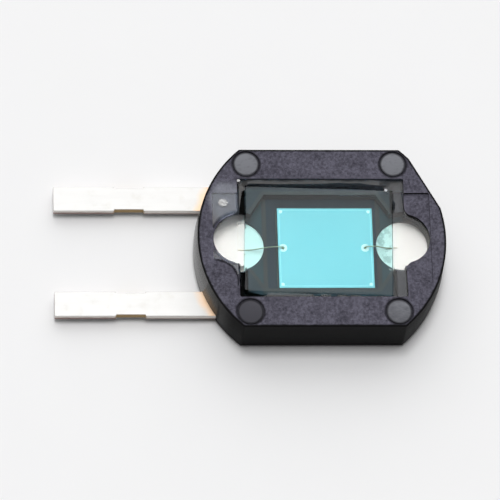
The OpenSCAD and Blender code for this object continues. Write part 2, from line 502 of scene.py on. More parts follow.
    def material(self) -> Material:
        """Makes the material.

        Returns:
            The material.
        """
        graph = Graph("black_moulding")
        x, y, z = graph.along()
        facing_x, facing_y, facing_z = graph.facing()
        grain = graph.noise(13, 4, roughness=0.66)
        fine = graph.noise(40, 2)
        depth = self.shell.height - z
        on_top = depth.rise(*self.skin_depth)
        disc = self._from_pin(graph).rise(self.disc_r, self.disc_r - 0.02) * on_top
        upper = facing_z.rise(0.78, 0.97)
        within = abs(y).rise(*self.hollow_y) * ((x**2 + y**2) ** 0.5).rise(*self.hollow_r)
        below = depth.rise(*self.hollow_depth) * within
        # Faces that tip away from level, the rounded rim among them, take the near-black wall colour: partly
        # the moulding's own colour, partly painted shade
        coloured = graph.blend(upper, self.wall, self._top(graph, grain, disc))
        coloured = graph.blend(below, coloured, self._inside(graph, upper))
        # The resin that ran over left a glossy film on the top face; its pale colour is partly haze, partly
        # painted sheen
        squeezed = (x - self.wet_x) * self.wet_squeeze
        spread = (squeezed**2 + (y - self.wet_y) ** 2) ** 0.5 + 0.25 * graph.noise(3, 2)
        bay, near = self._bay(graph)
        wet = spread.rise(*self.wet_r).most(0.5 * bay.rise(0.0, 0.05) * near)
        wet = wet * x.rise(*self.wet_right) * z.rise(*self.wet_z)
        coloured = graph.blend(wet * (0.9 - 0.6 * on_top), coloured, self.haze_and_sheen)
        # It also climbed the seat's wall behind the plate, which is painted paler: partly that resin, partly
        # painted light
        climbed_lit = (0 - facing_y).rise(0.7, 0.9) * y.rise(*self.climbed_lit_y) * within * (1 - upper)
        coloured = graph.blend(0.9 * climbed_lit * graph.noise(5, 2).rise(0.2, 0.45), coloured, self.haze_and_sheen)
        # Its film ends in a dark line of painted shade
        shore = abs(bay + self.shore_line).rise(*self.shore_fade) * near * (1 - below)
        coloured = graph.blend(0.8 * shore, coloured, self.gap_shade)
        # The wall at the leads was polished
        polished = 0.6 * (0 - facing_x).rise(0.72, 0.93) * (1 - below)
        relief = (grain * 0.6 + fine * 0.4) * (1 - 0.7 * disc) * (1 - below)
        return graph.finish(
            Base_Color=coloured,
            Roughness=0.4 + upper * (0.14 + 0.16 * grain - 0.1 * disc),
            Normal=graph.bump(relief, 0.011, 0.75),
            Specular_IOR_Level=0.02,
            Coat_Weight=(wet * on_top * upper).most(polished),
            Coat_Roughness=0.08,
            Coat_IOR=1.6,
        )


@dataclass(frozen=True)
class PlatedLead:
    """Bright plating on copper alloy, with the copper bare where a press tool sheared it."""

    plating: Colour = (0.60, 0.597, 0.588)
    tarnish: Colour = (0.54, 0.53, 0.505)
    pad: Colour = (0.95, 0.94, 0.915)
    bleed: Colour = (0.78, 0.53, 0.33)
    copper: Colour = (0.40, 0.27, 0.12)
    mottle: Colour = (0.40, 0.48, 0.46)
    edge: Colour = (0.33, 0.215, 0.195)
    smeared: Colour = (0.84, 0.80, 0.76)
    shear_x: float = -5.56
    shear_l: float = 0.86
    body_r: float = 3.7
    bled_out: Span = (0.42, 0.14)
    moulded_in: Span = (-0.2, -0.5)
    mottled_left: Span = (1.3, 1.6)
    mottled_right: Span = (2.2, 2.1)
    tip: Span = (-5.2, -6.4)
    bare_z: Span = (0.27, 0.20)

    def material(self) -> Material:
        """Makes the material.

        Returns:
            The material.
        """
        graph = Graph("plated_lead")
        x, y, z = graph.along()
        side = abs(graph.facing()[2]).rise(0.8, 0.35)
        stain = graph.noise(3.2, 4)
        streaks = graph.noise(8, 3, (0.18, 4.0, 1.0))
        sheared = abs(x - self.shear_x).rise(self.shear_l / 2 + 0.06, self.shear_l / 2 - 0.02)
        # Resin that bled out of the mould stains the plating beside the body
        from_body = (x**2 + y**2) ** 0.5 - self.body_r
        bled = (from_body + 0.25 * stain).rise(*self.bled_out)
        covered = from_body.rise(*self.moulded_in)
        top = graph.blend(stain.rise(0.5, 0.9), self.plating, self.tarnish)
        top = graph.blend(bled * 0.85, top, self.bleed)
        # The anode's pad is mottled where it reaches under the filter
        mottled = (0.3 + 0.7 * graph.noise(6, 3).rise(0.44, 0.62)) * x.rise(*self.mottled_left)
        mottled = mottled * x.rise(*self.mottled_right)
        top = graph.blend(covered, top, graph.blend(0.8 * mottled, self.pad, self.mottle))
        # The press smeared the plating over the upper part of the edges, and less of it towards the tips
        bare = (z + 0.05 * stain - 0.06 * x.rise(*self.tip)).rise(*self.bare_z)
        cut = graph.blend(sheared, graph.blend(bare, self.smeared, self.edge), self.copper)
        return graph.finish(
            Base_Color=graph.blend(side, top, cut),
            Metallic=0.5 + 0.13 * covered,
            Roughness=0.46 + 0.12 * streaks - 0.08 * covered,
            Normal=graph.bump(streaks * (1 - covered), 0.0025, 0.35),
        )


@dataclass(frozen=True)
class CoatedSilicon:
    """Polished silicon under a thin blue-green antireflection coat, with dark sawn sides."""

    coat: Colour = (0.312, 0.632, 0.708)
    deep: Colour = (0.296, 0.617, 0.696)
    sawn: Colour = (0.05, 0.055, 0.06)

    def material(self) -> Material:
        """Makes the material.

        Returns:
            The material.
        """
        graph = Graph("coated_silicon")
        top = graph.facing()[2].rise(0.5, 0.9)
        drift = graph.noise(0.55, 2)
        speckle = graph.noise(30, 2)
        face = graph.blend(drift.rise(0.3, 0.75), self.coat, self.deep)
        colour = graph.blend(top, self.sawn, face)
        return graph.finish(
            Base_Color=colour,
            Metallic=0.4 * top,
            Roughness=0.26 + 0.08 * speckle + 0.3 * (1 - top),
            Specular_IOR_Level=0.1,
        )


@dataclass(frozen=True)
class FilmMetal:
    """Bright evaporated metal of the die's border and bond pads."""

    name: str = "die_film"
    metal: Colour = (0.97, 0.985, 0.985)
    dull: Colour = (0.82, 0.93, 0.94)

    def material(self) -> Material:
        """Makes the material.

        Returns:
            The material.
        """
        graph = Graph(self.name)
        grain = graph.noise(40, 2)
        return graph.finish(
            Base_Color=graph.blend(grain.rise(0.4, 0.8), self.metal, self.dull),
            Metallic=0.5,
            Roughness=0.28 + 0.12 * grain,
        )


@dataclass(frozen=True)
class BondGold:
    """Drawn gold wire."""

    gold: Colour = (0.90, 0.80, 0.56)
    pale: Colour = (0.95, 0.89, 0.72)

    def material(self) -> Material:
        """Makes the material.

        Returns:
            The material.
        """
        graph = Graph("bond_gold")
        drawn = graph.noise(25, 2, (0.4, 1, 1))
        return graph.finish(
            Base_Color=graph.blend(drawn, self.gold, self.pale),
            Metallic=0.25,
            Roughness=0.38 + 0.15 * drawn,
        )


def wetted_face(name: str, per_mm: float, first: Colour, second: Colour) -> Material:
    """A face of glass or resin where the resin wets the glass, so that it hardly shines.

    Args:
        name: The material's name.
        per_mm: Number of blotches in a millimetre.
        first: One of its two colours.
        second: The other colour.

    Returns:
        The material.
    """
    graph = Graph(name)
    return graph.finish(
        Base_Color=graph.blend(graph.noise(per_mm, 2), first, second),
        Roughness=0.01 + 0.01 * graph.noise(3, 2),
        IOR=1.01,
        Transmission_Weight=1.0,
    )


@dataclass(frozen=True)
class FilterGlass:
    """Blue-green filter glass with a ground arris."""

    tint: Colour = (0.78, 0.985, 0.985)
    deep: Colour = (0.74, 0.975, 0.975)
    edge: Colour = (0.03, 0.06, 0.06)
    index: float = 1.46
    drift: float = 0.8

    def material(self) -> Material:
        """The polished top and its ground arris.

        Returns:
            The material.
        """
        graph = Graph("filter_glass")
        level = abs(graph.facing()[2]).rise(0.5, 0.9)
        ground = graph.noise(35, 3)
        clear = graph.blend(graph.noise(self.drift, 2), self.tint, self.deep)
        return graph.finish(
            Base_Color=graph.blend(level, self.edge, clear),
            Roughness=0.01 + (1 - level) * (0.25 + 0.3 * ground),
            IOR=self.index,
            Transmission_Weight=1.0,
        )

    def wetted(self) -> Material:
        """The underside and the edges, which the resin wets."""
        return wetted_face("filter_glass_wetted", self.drift, self.tint, self.deep)


@dataclass(frozen=True)
class ClearResin:
    """Clear cast resin with a faint warm cast."""

    clear: Colour = (1.0, 0.998, 0.99)
    warm: Colour = (0.985, 0.975, 0.955)
    milky: Colour = (0.86, 0.87, 0.90)
    pure: Colour = (1.0, 1.0, 1.0)
    index: float = 1.5
    drift: float = 1.4
    ran_over: Span = (-2.46, -2.52)
    behind: Span = (1.46, 1.52)
    beside_x: Span = (-2.16, -2.20)
    beside_y: Span = (0.45, 0.55)

    def material(self) -> Material:
        """The free skin.

        Returns:
            The material.
        """
        graph = Graph("clear_resin")
        x, y, _ = graph.along()
        ripple = graph.noise(2.4, 2)
        # It set dull where it ran over, behind the plate and at the plate's left end
        dull = x.rise(*self.ran_over).most(y.rise(*self.behind))
        dull = dull.most(x.rise(*self.beside_x) * y.rise(*self.beside_y))
        return graph.finish(
            Base_Color=graph.blend(graph.noise(self.drift, 2), self.clear, self.warm),
            Roughness=0.14 + 0.06 * ripple + 0.28 * dull,
            IOR=self.index,
            Transmission_Weight=1.0,
            Normal=graph.bump(ripple, 0.003, 0.3),
        )

    def froth_and_glint(self) -> Material:
        """The wall of the caught bubble and the beads, frothy and milky: partly froth, partly a painted
        highlight where the bubble and the beads glint.

        Returns:
            The material.
        """
        graph = Graph("clear_resin_froth")
        froth_and_glint = graph.noise(14, 3)
        return graph.finish(
            Base_Color=graph.blend(froth_and_glint, self.clear, self.milky),
            Roughness=0.3 + 0.2 * froth_and_glint,
            IOR=self.index,
            Transmission_Weight=0.45,
        )

    def wetting(self) -> Material:
        """Where it wets the filter glass."""
        return wetted_face("clear_resin_wetting", self.drift, self.pure, self.clear)


@dataclass(frozen=True)
class Adhesive:
    """Cured adhesive under the die."""

    pale: Colour = (0.20, 0.19, 0.17)
    dark: Colour = (0.11, 0.10, 0.09)

    def material(self) -> Material:
        """Makes the material.

        Returns:
            The material.
        """
        graph = Graph("die_adhesive")
        lumps = graph.noise(12, 3)
        return graph.finish(
            Base_Color=graph.blend(lumps, self.pale, self.dark),
            Roughness=0.45 + 0.2 * lumps,
            Normal=graph.bump(lumps, 0.01, 0.5),
        )


@dataclass(frozen=True)
class PaperFloor:
    """Plain pale paper."""

    pale: Colour = (0.885, 0.885, 0.89)
    shaded: Colour = (0.871725, 0.871725, 0.87665)

    def material(self) -> Material:
        """Makes the material.

        Returns:
            The material.
        """
        graph = Graph("paper_floor")
        fibre = graph.noise(0.6, 3)
        return graph.finish(
            Base_Color=graph.blend(fibre, self.pale, self.shaded),
            Roughness=0.9,
            Specular_IOR_Level=0.1,
        )


# Mesh helpers


def add_object(name: str, data: ID) -> Object:
    """Puts a new object with that data in the scene.

    Args:
        name: The object's name.
        data: Its mesh, curve, lamp or camera.

    Returns:
        The object.
    """
    made = bpy.data.objects.new(name, data)
    bpy.context.scene.collection.objects.link(made)
    return made


def solid(name: str, mesh: BMesh) -> Object:
    """Turns a bmesh in millimetres into an object that is in the scene.

    Args:
        name: The object's name.
        mesh: The bmesh, which is freed.

    Returns:
        The object.
    """
    bmesh.ops.recalc_face_normals(mesh, faces=mesh.faces)
    data = bpy.data.meshes.new(name)
    mesh.to_mesh(data)
    mesh.free()
    return add_object(name, data)


def absorb(mesh: BMesh, data: Mesh) -> None:
    """Adds a mesh to a bmesh and uses it up."""
    mesh.from_mesh(data)
    bpy.data.meshes.remove(data)


def soften(mesh: BMesh, edges: list[BMEdge], width: float, segments: int) -> None:
    """Rounds some edges of a bmesh.

    Args:
        mesh: The bmesh.
        edges: Its edges that are rounded.
        width: Width of the rounding.
        segments: Steps of the rounding.
    """
    bmesh.ops.bevel(
        mesh, geom=edges, offset=width, segments=segments, profile=0.5, affect="EDGES", material=-1
    )


def join(piece: Object, others: Iterable[Object]) -> None:
    """Joins other objects into a piece, with their materials."""
    with bpy.context.temp_override(active_object=piece, selected_editable_objects=[piece, *others]):
        bpy.ops.object.join()


def settle(piece: Object) -> None:
    """Applies the modifiers of a piece to its mesh."""
    bpy.context.view_layer.update()
    shaped = piece.evaluated_get(bpy.context.evaluated_depsgraph_get())
    old = piece.data
    piece.data = bpy.data.meshes.new_from_object(shaped)
    piece.modifiers.clear()
    bpy.data.meshes.remove(old)


def carve(piece: Object, tools: Iterable[Object], cut: Cut = Cut.REMOVE) -> None:
    """Cuts a piece with other solids, which are used up.

    Args:
        piece: The solid that changes.
        tools: The solids that cut it.
        cut: What the cut leaves.
    """
    for tool in tools:
        step = piece.modifiers.new(cut.name.lower(), "BOOLEAN")
        step.operation = cut.value
        step.solver = "EXACT"
        step.object = tool
        settle(piece)
        bpy.data.objects.remove(tool)


def round_edges(piece: Object, width: float, segments: int = 2, angle: float = 35.0) -> None:
    """Rounds the sharp edges of a piece.

    Args:
        piece: The piece.
        width: Width of the rounding, in millimetres.
        segments: Steps of the rounding.
        angle: The least angle of a sharp edge, in degrees.
    """
    step = piece.modifiers.new("rounding", "BEVEL")
    step.width = width
    step.segments = segments
    step.limit_method = "ANGLE"
    step.angle_limit = math.radians(angle)
    step.miter_outer = "MITER_ARC"
    settle(piece)


def block(low: Iterable[float], high: Iterable[float], corner: float = 0.0) -> BMesh:
    """A block between two corners, with its upright edges rounded.

    Args:
        low: Lowest corner.
        high: Highest corner.
        corner: Radius of the upright edges.

    Returns:
        The block's bmesh.
    """
    low, high = Vector(low), Vector(high)
    mesh = bmesh.new()
    bmesh.ops.create_cube(mesh, size=1)
    bmesh.ops.scale(mesh, vec=high - low, verts=mesh.verts)
    bmesh.ops.translate(mesh, vec=(low + high) / 2, verts=mesh.verts)
    if corner:
        upright = [e for e in mesh.edges if abs(e.verts[0].co.z - e.verts[1].co.z) > LEVEL]
        soften(mesh, upright, corner, 6)
    return mesh


def drum(middle: Iterable[float], radius: float, height: float, segments: int = 96) -> BMesh:
    """An upright cylinder.

    Args:
        middle: Middle of its foot.
        radius: Its radius.
        height: Its height.
        segments: Sides of the cylinder.

    Returns:
        The cylinder's bmesh.
    """
    mesh = bmesh.new()
    bmesh.ops.create_cone(
        mesh, cap_ends=True, segments=segments, radius1=radius, radius2=radius, depth=height
    )
    bmesh.ops.translate(mesh, vec=Vector(middle) + height / 2 * UP, verts=mesh.verts)
    return mesh


def pebble(middle: Iterable[float], half: Iterable[float]) -> BMesh:
    """A ball that is scaled along each axis.

    Args:
        middle: Its middle.
        half: Half its size along each axis.

    Returns:
        The pebble's bmesh.
    """
    mesh = bmesh.new()
    bmesh.ops.create_uvsphere(mesh, u_segments=32, v_segments=16, radius=1)
    bmesh.ops.scale(mesh, vec=Vector(half), verts=mesh.verts)
    bmesh.ops.translate(mesh, vec=Vector(middle), verts=mesh.verts)
    return mesh


def prism(outline: Iterable[Point], low: float, high: float) -> BMesh:
    """An upright prism on a closed outline.

    Args:
        outline: Points of the outline, in order.
        low: Height of its foot.
        high: Height of its top.

    Returns:
        The prism's bmesh.
    """
    mesh = bmesh.new()
    ring = [mesh.verts.new((x, y, low)) for x, y in outline]
    foot = mesh.faces.new(ring)
    raised = bmesh.ops.extrude_face_region(mesh, geom=[foot])
    top = [part for part in raised["geom"] if isinstance(part, BMVert)]
    bmesh.ops.translate(mesh, vec=(high - low) * UP, verts=top)
    return mesh


def ease(place: float, span: Span) -> float:
    """A smooth step from 0 where the span starts to 1 where it ends."""
    share = min(max((place - span[0]) / (span[1] - span[0]), 0.0), 1.0)
    return share * share * (3 - 2 * share)


def hand_in(
    piece: Object,
    node: str,
    materials: Iterable[Material],
    sharp: float = 40.0,
    weighted: bool = True,
) -> Object:
    """Brings a finished piece to metres, dresses it and puts it in the place of its CAD node.

    Args:
        piece: The piece, in millimetres.
        node: The node that it stands for.
        materials: Its materials, unless it has them already.
        sharp: Edges over this angle stay sharp, in degrees.
        weighted: Whether large faces stay flat beside rounded edges.

    Returns:
        The piece.
    """
    piece.data.transform(Matrix.Scale(MM, 4))
    for material in materials:
        piece.data.materials.append(material)
    piece.data.shade_smooth()
    piece.data.set_sharp_from_angle(angle=math.radians(sharp))
    if weighted:
        weighting = piece.modifiers.new("weighting", "WEIGHTED_NORMAL")
        weighting.weight = 100
        weighting.keep_sharp = True
        settle(piece)
    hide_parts(node)
    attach(piece, BODY)
    LOG.info("%s stands for %s with %d faces", piece.name, node, len(piece.data.polygons))
    return piece


def node_box(node: str) -> tuple[Vector, Vector]:
    """The lowest and highest corner of a CAD node, in millimetres."""
    low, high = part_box(node)
    return low / MM, high / MM


# The object's pieces


@dataclass
class Window:
    """The stepped hollow in the top of the moulding, with the sizes of the part's source."""

    top_z: float
    parting_z: float
    seat_l: float = 4.9
    seat_w: float = 3.7
    seat_z: float = 1.05
    chamber_l: float = 4.1
    chamber_w: float = 2.94
    chamber_corner_x: float = 0.4
    chamber_corner_y: float = 0.6
    floor_z: float = 0.52
    well_x: float = 2.41
    well_r: float = 0.76
    well_blend: float = 0.25
    ledge_relief: float = 0.17
    pocket_l: float = 6.38
    pocket_w: float = 2.8
    pocket_depth: float = 0.08
    corner: float = 0.05

    @property
    def pocket_z(self) -> float:
        """Height of the pocket's floor."""
        return self.top_z - self.pocket_depth

    def chamber_outline(self, grow: float = 0.0) -> list[Point]:
        """The die chamber's outline, a rectangle with its corners cut back.

        Args:
            grow: How far it is pushed outwards.

        Returns:
            Its points in order.
        """
        x = self.chamber_l / 2 + grow
        y = self.chamber_w / 2 + grow
        inner_x = x - self.chamber_corner_x
        inner_y = y - self.chamber_corner_y
        quarter = [(x, inner_y), (inner_x, y)]
        mirrored = [(-a, b) for a, b in reversed(quarter)]
        half = quarter + mirrored
        return half + [(-a, -b) for a, b in half]

    def _relief(self, side: Side, grow: float) -> Object:
        """The room where the ledge is cut back round a well.

        Args:
            side: Which well.
            grow: How far it is pushed outwards.

        Returns:
            The solid.
        """
        foot = self.floor_z - grow
        high = self.seat_z + LAP
        middle = (side.value * self.well_x, 0, foot)
        room = solid("relief", drum(middle, self.well_r + self.ledge_relief + grow, high - foot))
        long, wide = self.seat_l / 2 - SKIM + grow, self.seat_w / 2
        within = block((-long, -wide, foot - PAST), (long, wide, high + PAST))
        carve(room, [solid("within", within)], Cut.KEEP_COMMON)
        return room

    def _rounded_corner(self, side_x: int, side_y: int, grow: float) -> Object:
        """The corner between a well and the seat's end, rounded off by a circle that touches both.

        Args:
            side_x: Which well, as -1 or 1.
            side_y: Which side of the well, as -1 or 1.
            grow: How far it is pushed outwards.

        Returns:
            The solid.
        """
        inset = self.seat_l / 2 - self.well_x
        reach = self.well_r + self.well_blend
        middle_y = math.sqrt(reach**2 - (inset + self.well_blend) ** 2)
        middle_x = self.seat_l / 2 + self.well_blend
        corners = [(middle_x, middle_y), (self.seat_l / 2 - LAP, middle_y), (self.well_x, LAP)]
        outline = [(side_x * x, side_y * y) for x, y in corners]
        over = self.top_z + OVER
        corner = solid("corner", prism(outline, self.seat_z - grow, over))
        middle = (side_x * middle_x, side_y * middle_y, self.seat_z - PAST)
        carve(corner, [solid("round", drum(middle, self.well_blend - grow, over - self.seat_z + 2 * PAST))])
        return corner

    def tools(self, grow: float = 0.0, sink: float = 0.0) -> list[Object]:
        """Solids of the hollow's steps.

        Args:
            grow: How far each is pushed outwards.
            sink: How far the wells reach below the leads' top face.

        Returns:
            The pocket, the seat, the chamber, the two wells, their reliefs and their rounded corners.
        """
        over = self.top_z + OVER
        long, wide = self.pocket_l / 2 + 5 * grow, self.pocket_w / 2 + 5 * grow
        pocket = block((-long, -wide, self.pocket_z - grow), (long, wide, over), self.corner)
        long, wide = self.seat_l / 2 + grow, self.seat_w / 2 + grow
        seat = block((-long, -wide, self.seat_z - grow), (long, wide, over), self.corner)
        chamber = prism(self.chamber_outline(grow), self.floor_z - grow, over)
        foot = self.parting_z - sink
        wells = [drum((side.value * self.well_x, 0, foot), self.well_r + grow, over - foot) for side in Side]
        steps = [solid("window_step", mesh) for mesh in (pocket, seat, chamber, *wells)]
        steps += [self._relief(side, grow) for side in Side]
        steps += [self._rounded_corner(side_x, side_y, grow) for side_x, side_y in CORNERS]
        return steps


@dataclass(frozen=True)
class Shell:
    """The moulding's outside: round ends, two flats and the index corner, drafted from the parting line."""

    radius: float
    half_width: float
    height: float
    parting_z: float
    draft: float = math.radians(3)
    key_depth: float = 0.11
    key_turn: float = math.radians(29)

    @property
    def leaned_in(self) -> float:
        """How far the draft brings in the top face's outline."""
        return (self.height - self.parting_z) * math.tan(self.draft)

    @property
    def walls(self) -> list[tuple[float, float]]:
        """Which way each flat wall faces, and how far out it stands at the parting line."""
        quarter = math.pi / 2
        key = (self.key_turn, self.radius - self.key_depth)
        return [(quarter, self.half_width), (-quarter, self.half_width), key]


@dataclass
class PackageBody:
    """The one-piece moulding with the window and the witness marks of the mould's pins."""

    shell: Shell
    window: Window
    finish: MouldedPlastic
    mark_groove_w: float = 0.035
    mark_groove_depth: float = 0.05
    mark_sink: float = 0.012
    mark_core_h: float = 0.3
    mark_steps: int = 64
    well_sink: float = 0.04
    rim: float = 0.03
    edge: float = 0.012
    steps: int = 256

    def _half(self, height: float) -> BMesh:
        """One half of the outside, from the parting line at z = 0 up to a height, open at its foot.

        Args:
            height: Height of the half.

        Returns:
            Its bmesh.
        """
        radius, lean = self.shell.radius, math.tan(self.shell.draft)
        mesh = bmesh.new()
        bmesh.ops.create_cone(
            mesh,
            cap_ends=True,
            segments=self.steps,
            radius1=radius,
            radius2=radius - height * lean,
            depth=height,
        )
        bmesh.ops.translate(mesh, vec=height / 2 * UP, verts=mesh.verts)
        for turn, reach in self.shell.walls:
            out = Vector((math.cos(turn), math.sin(turn), 0))
            whole = [*mesh.verts, *mesh.edges, *mesh.faces]
            bmesh.ops.bisect_plane(
                mesh, geom=whole, dist=1e-7, plane_co=reach * out, plane_no=out + lean * UP, clear_outer=True
            )
            bmesh.ops.holes_fill(mesh, edges=[e for e in mesh.edges if e.is_boundary])
        foot = [f for f in mesh.faces if all(abs(v.co.z) < LEVEL for v in f.verts)]
        bmesh.ops.delete(mesh, geom=foot, context="FACES")
        return mesh

    def _outside(self) -> BMesh:
        """The whole outside with a rounded rim.

        Returns:
            Its bmesh.
        """
        parting_z = self.shell.parting_z
        mesh = self._half(self.shell.height - parting_z)
        below = self._half(parting_z)
        bmesh.ops.scale(below, vec=(1, 1, -1), verts=below.verts)
        carried = bpy.data.meshes.new("lower_half")
        below.to_mesh(carried)
        below.free()
        absorb(mesh, carried)
        bmesh.ops.remove_doubles(mesh, verts=mesh.verts, dist=1e-5)
        bmesh.ops.recalc_face_normals(mesh, faces=mesh.faces)
        bmesh.ops.translate(mesh, vec=parting_z * UP, verts=mesh.verts)
        sharp = [e for e in mesh.edges if e.is_manifold and e.calc_face_angle() > math.radians(15)]
        soften(mesh, sharp, self.rim, 3)
        return mesh

    def _marks(self) -> list[Object]:
        """Solids of the grooves and sunk discs of the four witness marks.

        Returns:
            The solids that cut them.
        """
        top_z, disc_r = self.shell.height, self.finish.disc_r
        outer = disc_r + self.mark_groove_w
        groove_z = top_z - self.mark_groove_depth
        core_h = self.mark_core_h - self.mark_sink
        tools = []
        for side_x, side_y in CORNERS:
            x, y = side_x * self.finish.disc_x, side_y * self.finish.disc_y
            groove = solid("groove", drum((x, y, groove_z), outer, OVER, self.mark_steps))
            core = drum((x, y, top_z - self.mark_core_h), disc_r, core_h, self.mark_steps)
            carve(groove, [solid("core", core)])
            tools.append(groove)
        return tools

    def build(self) -> Object:
        """Makes and dresses the moulding.

        Returns:
            The piece.
        """
        piece = solid("moulded_body", self._outside())
        carve(piece, self.window.tools(sink=self.well_sink))
        carve(piece, self._marks())
        round_edges(piece, self.edge)
        return hand_in(piece, "package_body", [self.finish.material()], sharp=30)


@dataclass
class Lead:
    """A stamped lead: the blade with its sheared stretch, the arm and the round bond pad."""

    node: str
    side: Side
    pad_x: float
    tip_x: float
    top_z: float
    thickness: float
    finish: PlatedLead
    width: float = 0.76
    pitch: float = 3.3
    pad_r: float = 0.91
    shear_depth: float = 0.045
    burr: float = 0.012

    def _outline(self) -> list[Point]:
        """The stamped outline, anticlockwise for the lead at +Y.

        Returns:
            Its points.
        """
        half = self.width / 2
        inner, outer = self.pitch / 2 - half, self.pitch / 2 + half
        first = self.finish.shear_x - self.finish.shear_l / 2
        last = self.finish.shear_x + self.finish.shear_l / 2
        open_angle = math.asin(half / self.pad_r)
        steps = 48
        turn = 2 * (math.pi - open_angle) / steps
        start = math.pi / 2 + open_angle
        pad = [
            (self.pad_x + self.pad_r * math.cos(start + turn * i), self.pad_r * math.sin(start + turn * i))
            for i in range(steps + 1)
        ]
        return [
            (self.tip_x, inner),
            (first, inner),
            (first, inner + self.shear_depth),
            (last, inner + self.shear_depth),
            (last, inner),
            (self.pad_x - half, inner),
            *pad,
            (self.pad_x + half, outer),
            (last, outer),
            (last, outer - self.shear_depth),
            (first, outer - self.shear_depth),
            (first, outer),
            (self.tip_x, outer),
        ]

    def build(self, material: Material) -> Object:
        """Makes and dresses the lead.

        Args:
            material: The plating.

        Returns:
            The piece.
        """
        outline = [(x, self.side.value * y) for x, y in self._outline()]
        piece = solid(f"{self.node}_strip", prism(outline, self.top_z - self.thickness, self.top_z))
        round_edges(piece, self.burr, segments=3, angle=50)
        return hand_in(piece, self.node, [material])


@dataclass
class Die:
    """The silicon chip with its metal border, corner spots and bond pads."""

    finish: CoatedSilicon
    film: FilmMetal
    border: FilmMetal
    border_inset: float = 0.05
    border_w: float = 0.03
    film_t: float = 0.012
    pad_r: float = 0.12
    spot_r: float = 0.055
    film_steps: int = 48
    arris: float = 0.008
    cathode_inset: float = 0.15
    anode_inset: float = 0.24
    low: Vector = field(init=False)
    high: Vector = field(init=False)

    def __post_init__(self) -> None:
        """Takes the die's place from the frame."""
        self.low, self.high = node_box("photodiode_die")
        self.high.z -= self.film_t

    @property
    def middle_y(self) -> float:
        """Where the bond pads lie along Y."""
        return (self.low.y + self.high.y) / 2

    @property
    def pads_x(self) -> tuple[float, float]:
        """Where the cathode's and the anode's bond pads lie along X."""
        return self.low.x + self.cathode_inset, self.high.x - self.anode_inset

    def _border(self) -> BMesh:
        """The metal border on the die's face.

        Returns:
            Its bmesh.
        """
        inset = Vector((self.border_inset, self.border_inset, 0))
        low = Vector((self.low.x, self.low.y, self.high.z)) + inset
        high = Vector((self.high.x, self.high.y, self.high.z + self.film_t)) - inset
        mesh = block(low, high)
        top = [f for f in mesh.faces if abs(f.normal.z) > 0.5]
        bmesh.ops.inset_individual(mesh, faces=top, thickness=self.border_w, depth=0)
        inner = [f for f in mesh.faces if f in top]
        loops = [list(f.edges) for f in inner]
        bmesh.ops.delete(mesh, geom=inner, context="FACES_ONLY")
        bmesh.ops.bridge_loops(mesh, edges=[e for loop in loops for e in loop])
        return mesh

    def build(self) -> Object:
        """Makes and dresses the die.

        Returns:
            The piece.
        """
        chip = solid("silicon_die", block(self.low, self.high))
        round_edges(chip, self.arris)
        chip.data.materials.append(self.finish.material())
        pads = [(x, self.middle_y, self.pad_r) for x in self.pads_x]
        reach_x = (self.high.x - self.low.x) / 2 - self.border_inset - self.spot_r
        reach_y = (self.high.y - self.low.y) / 2 - self.border_inset - self.spot_r
        middle_x = (self.low.x + self.high.x) / 2
        spots = [(middle_x + a * reach_x, self.middle_y + b * reach_y, self.spot_r) for a, b in CORNERS]
        films = [
            solid("film", drum((x, y, self.high.z), radius, self.film_t, self.film_steps))
            for x, y, radius in pads + spots
        ]
        metal = self.film.material()
        for film in films:
            film.data.materials.append(metal)
        frame = solid("border", self._border())
        frame.data.materials.append(self.border.material())
        join(chip, [*films, frame])
        return hand_in(chip, "photodiode_die", [])


@dataclass
class DieAttach:
    """The adhesive that squeezed out round the die."""

    finish: Adhesive
    fillet: float = 0.012
    corner: float = 0.08

    def build(self) -> Object:
        """Makes and dresses the adhesive.

        Returns:
            The piece.
        """
        low, high = node_box("die_attach")
        piece = solid("adhesive_layer", block(low, high, self.corner))
        round_edges(piece, self.fillet, 3)
        return hand_in(piece, "die_attach", [self.finish.material()])


